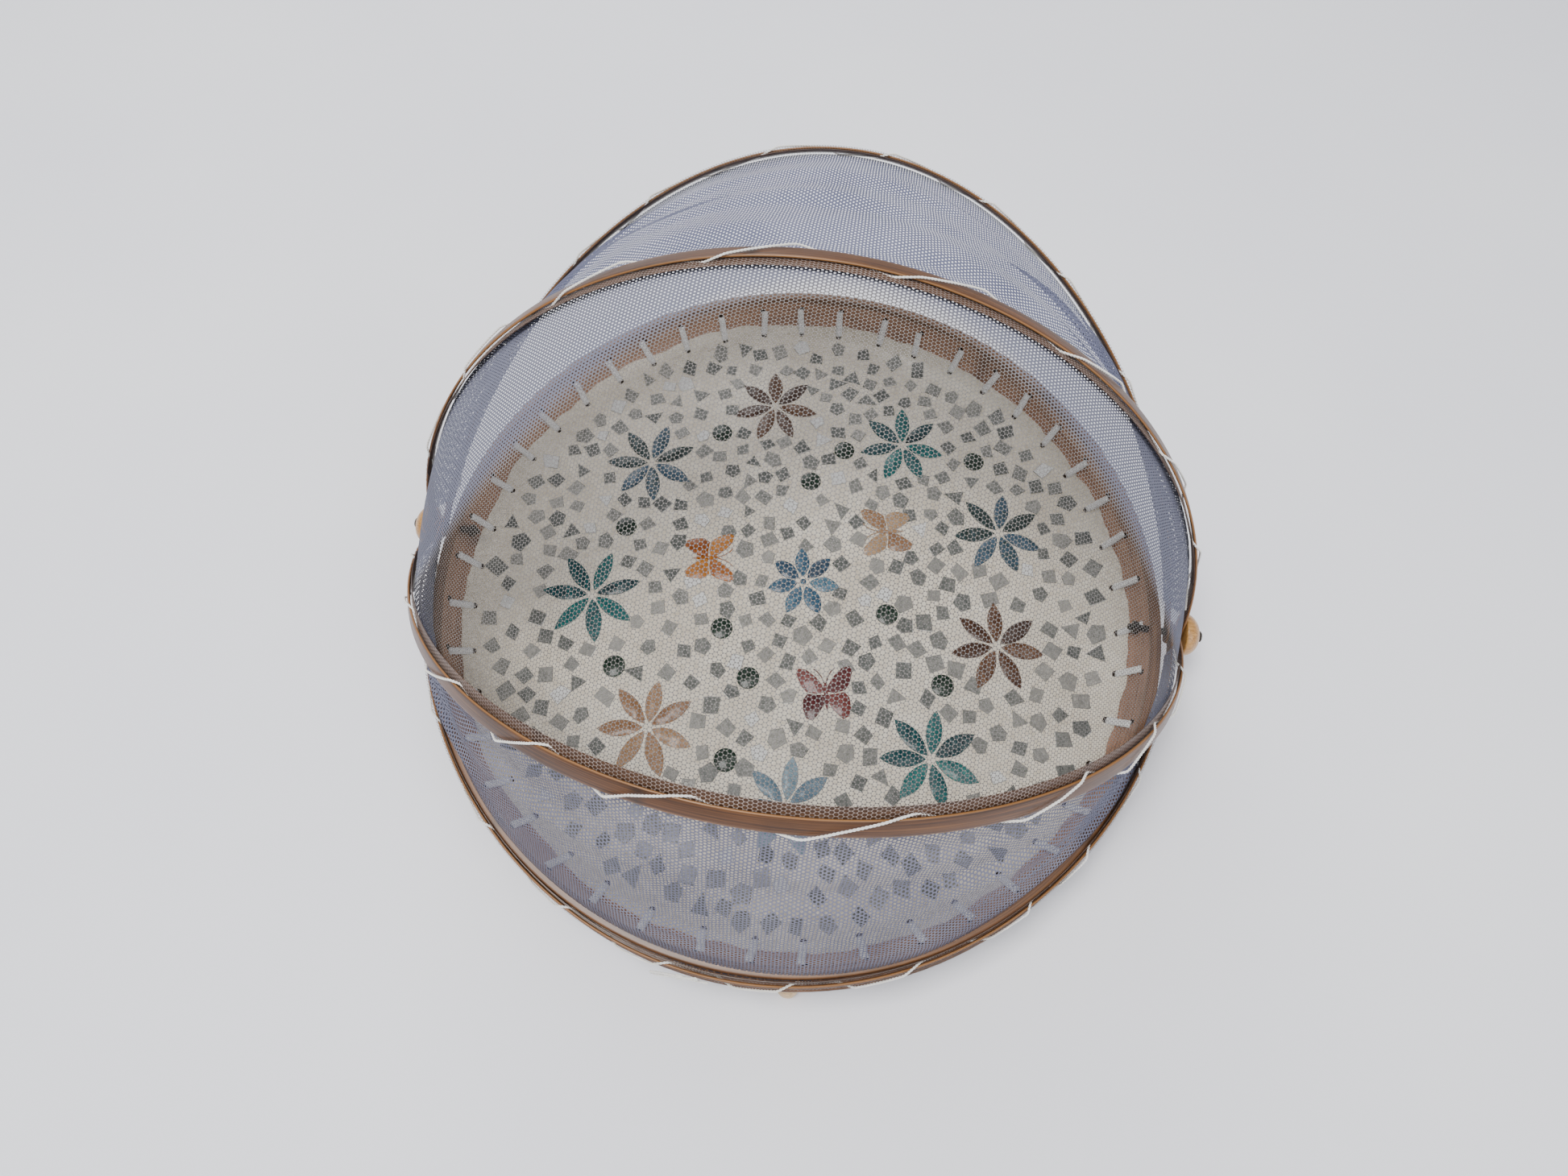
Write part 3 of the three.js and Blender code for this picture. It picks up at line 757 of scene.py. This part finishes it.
def petal(reach, width, start):
    """A pointed leaf outline along +X."""
    side = []
    for k in range(1, 9):
        s = k / 9
        side.append((start + (reach - start) * s, width * sin(pi * s) ** 0.8))
    return [(start, 0.0)] + side + [(reach, 0.0)] + [(x, -y) for x, y in reversed(side)]


def turned_by(outline, degrees, x0, y0):
    """An outline turned about its own middle and moved to a place."""
    c, s = cos(radians(degrees)), sin(radians(degrees))
    return [(x0 + x * c - y * s, y0 + x * s + y * c) for x, y in outline]


def round_outline(radius, corners):
    return [polar(radius, FULL * k / corners) for k in range(corners)]


def inlaid(parts, outline, degrees, x, y, rise=0.4, inset=0.25):
    """One shell piece set in the floor."""
    parts.prism(turned_by(outline, degrees, x, y), -0.3, rise, inset, floor_height)


def flowers():
    rng = random.Random(7)
    for name, kind, x, y, reach, turn in FLOWERS:
        parts = Parts()
        middle = name == "flower_middle"
        for k in range(PETALS):
            long = reach * rng.uniform(0.95, 1.02)
            outline = petal(long, PETAL_W * rng.uniform(0.93, 1.07), 3.2 if middle else 2.4)
            inlaid(parts, outline, turn + 360 * k / PETALS + rng.uniform(-3, 3), x, y)
        if middle:
            inlaid(parts, round_outline(1.7, 14), 0, x, y)
        give(parts.build(f"{name}_petals"), SHELLS[kind], "tray", f"shell_{kind}", name)


def butterflies():
    upper = [
        (0.7, 1.0), (1.4, 4.4), (4.6, 9.2), (9.4, 13.4), (13.6, 14.4),
        (15.0, 12.0), (13.8, 7.6), (12.4, 4.2), (10.2, 1.4), (5, 0.2),
    ]
    lower = [
        (0.7, -0.5), (5, -0.3), (9.8, 0.5), (12.2, -2.6), (12.6, -7.6),
        (11.2, -12.4), (8, -13.8), (5, -10.8), (2.4, -7.2), (0.8, -4.4),
    ]
    body = [
        (0, 6), (0.9, 4.6), (1.1, 0), (0.8, -6), (0, -9.5), (-0.8, -6), (-1.1, 0), (-0.9, 4.6),
    ]
    for name, kind, x, y, turn in BUTTERFLIES:
        parts = Parts()
        for wing in (upper, lower):
            for side in (1, -1):
                outline = [(px * side, py) for px, py in (wing if side > 0 else reversed(wing))]
                inlaid(parts, outline, turn, x, y)
        inlaid(parts, body, turn, x, y, 0.55, 0.2)
        for side in (1, -1):
            feeler = [(side * 0.4, 5.4), (side * 1.6, 9), (side * 3.6, 12), (side * 5.6, 13.6)]
            placed = turned_by(feeler, turn, x, y)
            tube(parts, [(px, py, FLOOR_Z + 0.15) for px, py in placed], 0.32, 6)
        give(parts.build(f"{name}_inlay"), SHELLS[kind], "tray", f"shell_{kind}", name)


def discs():
    for i, (x, y) in enumerate(DOTS):
        parts = Parts()
        inlaid(parts, round_outline(DISC_R, 36), 0, x, y, 0.4, 0.35)
        give(parts.build(f"disc_{i + 1}"), SHELLS["green"], "tray", "shell_green", f"dot_{i + 1}")


def scattered(rng):
    """Places for the chips, spread evenly between the inlays."""
    kept_clear = [(x, y, reach * 0.86 + 3.2) for _, _, x, y, reach, _ in FLOWERS]
    kept_clear += [(x, y, 16.5) for _, _, x, y, _ in BUTTERFLIES]
    kept_clear += [(x, y, 10.8) for x, y in DOTS]
    centres = []
    for _ in range(CHIP_TRIES):
        r = CHIP_REACH * sqrt(rng.random())
        x, y = polar(r, rng.uniform(0, FULL))
        if any(hypot(x - cx, y - cy) < keep for cx, cy, keep in kept_clear):
            continue
        if all((x - px) ** 2 + (y - py) ** 2 > CHIP_GAP * CHIP_GAP for px, py in centres):
            centres.append((x, y))
    return centres


def tesserae():
    """Small grey shell chips, mostly four-sided, each lying a little askew."""
    rng = random.Random(31)
    parts = Parts()
    for x, y in scattered(rng):
        corners = rng.choices((3, 4, 5), (1, 8, 2))[0]
        size = rng.uniform(4.7, 6.1) * (1.1 if corners == 3 else 1.0)
        turn = rng.uniform(0, FULL)
        outline = []
        for k in range(corners):
            at = turn + FULL * (k + rng.uniform(-0.13, 0.13)) / corners
            far = size * rng.uniform(0.82, 1.12)
            outline.append((x + far * cos(at), y + far * sin(at)))
        tilt = (rng.uniform(-0.03, 0.03), rng.uniform(-0.03, 0.03))

        def lie(px, py):
            return floor_height(px, py) + tilt[0] * (px - x) + tilt[1] * (py - y)

        parts.prism(outline, -0.5, 0.3, 0.3, lie)
    give(parts.build("shell_chips", 25), CHIPS, "tray", "shell_ground")


def stitch_hole(holes, s, at, size, depth):
    """A dark disc of painted shade standing for a hole, with its face depth mm under the cove."""
    r, z = cove_point(s, depth)
    r2, z2 = cove_point(s, 0.5)
    out = Vector((*polar(r - r2, at), z - z2)).normalized()
    across = Vector((-sin(at), cos(at), 0))
    other = out.cross(across)
    centre = Vector((*polar(r, at), z))
    rings = []
    for level in (-0.4, 0.0):
        rings.append([
            tuple(centre + out * level + across * x + other * y)
            for x, y in round_outline(size, 12)
        ])
    holes.skin(rings, [0, 1], [float(k) for k in range(13)])


def stitches():
    """Short flat cords up the cove, with a dark disc of painted shade for a hole at both ends."""
    rng = random.Random(5)
    cords, holes = Parts(), Parts()
    s0 = cove_at(STITCH_R)
    s1 = s0 + 0.86 * (cove_at(STITCH_TOP_R) - s0)
    for i in range(STITCHES):
        at = radians(STITCH_START - 360 / STITCHES * i + rng.uniform(-0.35, 0.35))
        lean = rng.uniform(-0.012, 0.012)
        reach = rng.uniform(0.94, 1.03)
        path, flat = [], []
        steps = 12
        for k in range(steps + 1):
            share = k / steps
            s = s0 + (s1 - s0) * share * reach
            lift = 1.25 * sin(pi * share) ** 0.5 - 0.55
            r, z = cove_point(s, -lift)
            angle = at + lean * share
            path.append((*polar(r, angle), z))
            flat.append(Vector((-sin(angle), cos(angle), 0)))
        tube(cords, path, CORD_R, 10, CORD_FLAT, flat)
        stitch_hole(holes, s0 - 0.005, at, 1.7, -0.06)
        stitch_hole(holes, s0 + (s1 - s0) * reach + 0.01, at, 1.6, 0.42)
    give(cords.build("wall_stitches", 0), STITCH, "tray", "thread")
    give(holes.build("stitch_holes"), HOLE_SHADE, "tray", "bamboo_dark")


# ---- hoops and thread
def hoop_axes(hoop):
    """The direction of a hoop's reach, and the one across its strip."""
    tilt = radians(hoop["angle"])
    up = Vector((0, -cos(tilt), sin(tilt)))
    side = Vector((0, sin(tilt), cos(tilt)))
    return up, side


def hoop_place(hoop, t):
    """The strip's middle, its outward direction and the one across it, t radians from the right."""
    up, side = hoop_axes(hoop)
    a, b, pinch = hoop["a"], hoop["b"], hoop["pinch"]
    c, s = cos(t), sin(t)
    centre = Vector((a * c * (1 - pinch * s), 0, PIVOT_Z)) + up * (b * s)
    run = a * (s + pinch * (c * c - s * s))
    out = (Vector((b * c, 0, 0)) + up * run).normalized()
    return centre, out, side


def strip(name, hoop, width=STRIP_W, thick=STRIP_T, inward=0.0, aside=0.0, start=0.0):
    """A bent bamboo strip; inward and aside move it from the hoop's own line.

    One that starts at the pivots runs on below them.
    """
    up, side = hoop_axes(hoop)
    section = []
    half_w, half_t = width / 2, thick / 2
    for k in range(9):
        s = -half_w + 0.5 + (width - 1) * k / 8
        section.append((half_t - 0.14 * (s / half_w) ** 2, s))
    edge = [
        (half_t - 0.3, half_w - 0.12), (0.1, half_w), (-0.1, half_w),
        (-half_t + 0.2, half_w - 0.12), (-half_t, half_w - 0.6),
    ]
    section += edge + [(-half_t, 0.0)] + [(n, -s) for n, s in reversed(edge)]
    steps = 180
    beyond = 0 if start else 3
    frames = []
    for k in range(-beyond, steps + 1 + beyond):
        if 0 <= k <= steps:
            frames.append(hoop_place(hoop, start + (pi - 2 * start) * k / steps))
        else:
            drop = (-k if k < 0 else k - steps) / 3
            sign = 1 if k < 0 else -1
            centre = Vector((hoop["a"] * sign, 0, PIVOT_Z)) - up * (HOOP_TAIL * drop)
            frames.append((centre, Vector((sign, 0, 0)), side))
    rings = []
    last = len(frames) - 1
    for i, (centre, out, across) in enumerate(frames):
        end = min(i, last - i)
        narrow = (0.62, 0.86, 1.0)[min(end, 2)]
        rings.append([
            tuple(centre + out * (n - inward) + across * ((s + aside) * narrow)) for n, s in section
        ])
    along = running_length([tuple(f[0]) for f in frames])
    parts = Parts()
    parts.skin(rings, along, [s for _, s in section] + [section[0][1]])
    return parts.build(name, 50)


def wrap_path(hoop, crossings):
    """The middle line of a thread wound round a strip, one turn between two crossings."""
    corners = []
    corner = 0.9
    steps_per_turn = 44
    flat_n, flat_s = WRAP_OUT - corner, WRAP_SIDE - corner
    for n0, s0, start in (
        (flat_n, flat_s, 0), (-flat_n, flat_s, 90), (-flat_n, -flat_s, 180), (flat_n, -flat_s, 270),
    ):
        for k in range(6):
            at = radians(start + 90 * k / 5)
            corners.append((n0 + corner * cos(at), s0 + corner * sin(at)))
    loop = corners + corners[:1]
    lengths = running_length(loop)
    total = lengths[-1]
    # the loop starts at its first corner; the outward face's middle is halfway through the last side
    shift = total - flat_s

    def around(turn):
        where = (turn % 1.0) * total + shift
        where %= total
        for i in range(len(loop) - 1):
            if lengths[i + 1] >= where:
                share = (where - lengths[i]) / max(lengths[i + 1] - lengths[i], 1e-9)
                return tuple(a + (b - a) * share for a, b in zip(loop[i], loop[i + 1]))
        return loop[0]

    marks = [2 * crossings[0] - crossings[1]] + crossings + [2 * crossings[-1] - crossings[-2]]
    points = []
    for i in range(len(marks) - 1):
        for k in range(steps_per_turn):
            t = marks[i] + (marks[i + 1] - marks[i]) * k / steps_per_turn
            if not 6.0 <= t <= 174.0:
                continue
            centre, out, side = hoop_place(hoop, radians(t))
            n, s = around(-(k / steps_per_turn))
            points.append(centre + out * n + side * s)
    return points


def smoothed(points, steps):
    """Points at an even step along a polyline."""
    lengths = running_length([tuple(p) for p in points])
    total = lengths[-1]
    out = []
    i = 0
    for k in range(steps + 1):
        where = total * k / steps
        while i < len(points) - 2 and lengths[i + 1] < where:
            i += 1
        share = (where - lengths[i]) / max(lengths[i + 1] - lengths[i], 1e-9)
        out.append(points[i].lerp(points[i + 1], min(1.0, share)))
    return out


def plied(parts, path):
    """A thread of two plies twisted round each other along a path."""
    length = running_length([tuple(p) for p in path])[-1]
    steps = max(12, int(length / PLY_PITCH * 7))
    middle = smoothed(path, steps)
    for phase in (0, pi):
        line = []
        for k, (across, other) in enumerate(cross_directions(middle)):
            turn = FULL * k / steps * length / PLY_PITCH + phase
            off = (across * cos(turn) + other * sin(turn)) * PLY_OFF
            line.append(tuple(middle[k] + off))
        tube(parts, line, PLY_R, 6, taper=2)


def lashing(name, hoop, crossings):
    parts = Parts()
    plied(parts, wrap_path(hoop, crossings))
    return parts.build(name, 0)


def curved(rough):
    """A smooth line through a few points."""
    fine = []
    for i in range(len(rough) - 1):
        p0, p1 = rough[max(i - 1, 0)], rough[i]
        p2, p3 = rough[i + 1], rough[min(i + 2, len(rough) - 1)]
        for k in range(8):
            s = k / 8
            fine.append(0.5 * (
                2 * p1 + (p2 - p0) * s + (2 * p0 - 5 * p1 + 4 * p2 - p3) * s * s
                + (3 * p1 - p0 - 3 * p2 + p3) * s ** 3
            ))
    return fine + [rough[-1]]


def knot():
    """The tail of the thread tied in a loose bow on the middle of the front hoop."""
    centre, out, side = hoop_place(HOOPS["front"], radians(96))
    along = Vector((-1, 0, 0))
    home = centre + out * 1.9 + side * 4.2
    parts = Parts()

    def place(x, y, lift):
        return home + along * x + side * (y * 0.55) + out * (lift - y * 0.15)

    loops = [
        [
            (0, 0, 0.6), (4, 3.2, 1.2), (9, 4.2, 1.4), (13, 1.8, 1.2),
            (12, -1.8, 1.0), (7, -2.6, 1.1), (1, -0.4, 0.9),
        ],
        [
            (0, 0, 0.6), (-3, 2.0, 1.1), (-6.5, 3.6, 1.0),
            (-8, 1.8, 0.9), (-5, -0.4, 0.9), (-1, -0.4, 0.9),
        ],
        [(0, 0, 0.9), (-4, -2.2, 0.8), (-9, -3.4, 0.7), (-13, -3.2, 0.6)],
        [(0.5, 0, 0.9), (4, -3.2, 0.8), (8.5, -5.2, 0.6)],
    ]
    for loop in loops:
        plied(parts, curved([place(*p) for p in loop]))
    turns = []
    for k in range(60):
        at = FULL * k / 20
        turns.append(place(1.5 * cos(at), 2.2 * sin(at), 0.9 + 0.4 * cos(at * 0.5)))
    plied(parts, turns)
    return parts.build("front_knot", 0)


# ---- net
def between(front, back, share, t, drop):
    """A point on the surface swept between two hoops, drop mm inside it."""
    hoop = {key: front[key] + (back[key] - front[key]) * share for key in front}
    centre, out, _ = hoop_place(hoop, t)
    return centre - out * drop


def cloth(name, material, rows, columns, verts, coords):
    """A single layer of net from a grid of points, with the layout place of each."""
    faces = []
    for i in range(rows):
        for j in range(columns):
            a = i * (columns + 1) + j
            faces.append((a, a + 1, a + columns + 2, a + columns + 1))
    uvs = [[coords[k] for k in face] for face in faces]
    sheet = finished(name, verts, faces, uvs, 0)
    sheet.data.materials.append(material)
    return sheet


def creased(v, t, bulk, folds, seed):
    """How far the slack net hangs in, in folds that fan out from the pivots."""
    hem = min(1.0, 4 * v * (1 - v))
    fan = sin(FULL * folds * (v + 0.05 * sin(3 * t + seed)) + seed)
    spread = noise.noise(Vector((v * 7 + seed, t * 2.2, seed)))
    fine = noise.noise(Vector((v * 16 + seed, t * 3.5, 2 + seed)))
    near_pivot = (1 - bulk) ** 0.8
    crease = (1.0 + 1.6 * near_pivot) * fan * (0.35 + near_pivot)
    crease += 3.4 * spread + 1.1 * fine
    return (crease + 2.0) * hem ** 0.6 * min(1.0, bulk * 2.2)


def closer_ends(v, bulk, side):
    """Gathered towards both pivots."""
    return (0.7 - bulk) / 0.4


def closer_back(v, bulk, side):
    """Gathered towards the second hoop, and wider so near the pivots, most on the left."""
    return (v + 1.2 * (1 - bulk) - 0.16 * side - 0.9) / 0.07


def net_gore(name, material, first, second, slack, folds, seed, tight):
    """The net between two hoops: slack lets it sag, folds counts its creases."""
    front, back = HOOPS[first], HOOPS[second]
    rows, columns = 168, 60
    start = 0.075
    verts, coords, gather = [], [], []
    opening = radians(back["angle"] - front["angle"])
    middle = (front["b"] + back["b"]) / 2
    for i in range(rows + 1):
        t = start + (pi - 2 * start) * i / rows
        bulk = sin(t)
        for j in range(columns + 1):
            v = j / columns
            chord = cos(opening / 2) / cos(opening * (v - 0.5))
            sag = slack * (1 - chord) * middle * bulk
            crease = creased(v, t, bulk, folds, seed) if folds else 0.0
            verts.append(tuple(between(front, back, v, t, NET_INSIDE + sag + crease)))
            cut = middle * opening * (0.18 + 0.82 * bulk)
            coords.append((t * middle, (v - 0.5) * cut))
            gather.append(min(1.0, max(0.0, tight(v, bulk, cos(t)))))
    sheet = cloth(name, material, rows, columns, verts, coords)
    close = sheet.data.attributes.new("gather", "FLOAT", "POINT")
    close.data.foreach_set("value", gather)
    return sheet


def hem_band(name, body, low, high, level):
    """Net along a hoop, from low to high across its strip, level mm outside its middle."""
    hoop = HOOPS[body]
    rows, columns = 180, 10
    verts, coords = [], []
    for i in range(rows + 1):
        t = 0.06 + (pi - 0.12) * i / rows
        centre, out, side = hoop_place(hoop, t)
        shrink = min(1.0, 0.35 + 2.2 * sin(t))
        for j in range(columns + 1):
            s = (low + (high - low) * j / columns) * shrink
            wave = 0.22 * sin(t * 60 + j) + 0.3 * noise.noise(Vector((t * 14, s * 0.4, 1.7)))
            n = level + 0.12 * wave
            verts.append(tuple(centre + out * n + side * s))
            coords.append((t * hoop["b"] * 0.97, s * 1.1 + 0.7))
    band = cloth(name, HEM, rows, columns, verts, coords)
    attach(band, body)


# ---- pivots
def pivot(side, name):
    """The button outside the hoops, the screw through them and the nut inside the wall."""
    def place(x, y, z):
        # the turning axis lies along X
        return (side * z, y, PIVOT_Z + x)

    face = BUTTON_FACE
    dome = [(2.1, face), (BUTTON_R - 1.1, face)]
    for k in range(9):
        at = radians(-60 + 60 * k / 8)
        dome.append((BUTTON_R - 1 + cos(at), face + 1 + sin(at)))
    for k in range(1, 20):
        at = acos(3.4 / BUTTON_R) * k / 19
        dome.append((BUTTON_R * cos(at), face + 1 + BUTTON_RISE * sin(at)))
    dome += [(3.0, face + BUTTON_RISE + 0.3), (2.1, face + BUTTON_RISE + 0.1)]
    button = turned(f"button_{name}", dome, 64, place)
    give(button, BUTTON_WOOD, "tray", "pivot_wood", f"pivot_button_{name}")

    head = face + BUTTON_RISE + 1.1
    screw = [(0, SCREW_END), (1.2, SCREW_END), (SCREW_R, SCREW_END + 0.7)]
    z = SCREW_END + 0.9
    while z < SCREW_END + 8:
        screw += [(SCREW_R, z), (SCREW_R - 0.25, z + 0.35)]
        z += 0.7
    screw += [(SCREW_R, SCREW_END + 8.4), (SCREW_R, head)]
    screw += softened([(2.9, head), (2.9, head + 0.7), (2.0, head + 1.35)], 0.3)[1:]
    screw += [(0.55, head + 1.5), (0.55, head + 0.9), (0, head + 0.9)]
    bolt = turned(f"bolt_{name}", screw, 36, place)
    give(bolt, STEEL, "tray", "screw_steel", f"pivot_screw_{name}")

    parts = Parts()
    far = NUT_AT + NUT_T
    levels = [
        (1.9, NUT_AT), (NUT_R - 0.4, NUT_AT), (NUT_R, NUT_AT + 0.3),
        (NUT_R, far - 0.3), (NUT_R - 0.4, far), (1.9, far),
    ]
    rings = []
    for k in range(36):
        at = FULL * k / 36
        hexed = cos(pi / 6) / cos((at + pi / 6) % (pi / 3) - pi / 6)
        ring = []
        for r, z in levels:
            reach = r * hexed if r > 3 else r
            ring.append(place(*polar(reach, at), z))
        rings.append(ring)
    parts.skin(rings, [float(k) for k in range(37)], [float(k) for k in range(7)], joined=True)
    give(parts.build(f"nut_{name}", 30), STEEL, "tray", "screw_steel", f"pivot_nut_{name}")


# ---- assembly
GORES = {
    "front_net": dict(
        material=NET_SLACK, first="front", second="lift", slack=0.35, folds=5, seed=1.3,
        tight=closer_ends,
    ),
    "top_net": dict(
        material=NET_TAUT, first="lift", second="spine", slack=0.25, folds=0, seed=2.1,
        tight=closer_back,
    ),
    "rear_net": dict(
        material=NET_DOUBLE, first="spine", second="rear", slack=0.35, folds=4, seed=4.2,
        tight=closer_ends,
    ),
}


def hoops():
    for body, hoop in HOOPS.items():
        give(strip(f"{body}_strip", hoop), HOOP_BAMBOO, body, "hoop_bamboo", f"{body}_hoop")
        thread = lashing(f"{body}_thread", hoop, CROSSINGS[body])
        give(thread, THREAD, body, "thread", f"{body}_lashing")
    give(knot(), THREAD, "front", "thread")


def gores():
    """The three nets; each follows its two hoops, blended across the middle of the gore."""
    for node, gore in GORES.items():
        sheet = net_gore(f"{node}_sheet", **gore)
        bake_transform(sheet)
        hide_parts(node)


def hems():
    """Each hoop's netted hem over a thin dark strip, and net folded over the two end hoops."""
    for body, toward in (("front", 1), ("lift", 1), ("spine", -1), ("rear", -1)):
        inner = strip(
            f"{body}_inner_strip", HOOPS[body], INNER_W, INNER_T, INNER_IN,
            INNER_ASIDE * toward, INNER_START,
        )
        give(inner, INNER_BAMBOO, body, "hoop_bamboo")
        low, high = (-HEM_SHORT, HEM_LONG) if toward > 0 else (-HEM_LONG, HEM_SHORT)
        hem_band(f"{body}_hem", body, low, high, -HEM_INSIDE)
    for body in ("front", "rear"):
        hem_band(f"{body}_hem_cover", body, -COVER_REACH, COVER_REACH, COVER_OUT)


camera()
studio()
tray_body()
feet()
mosaic_floor()
flowers()
butterflies()
discs()
tesserae()
stitches()
hoops()
gores()
hems()
pivot(1, "right")
pivot(-1, "left")
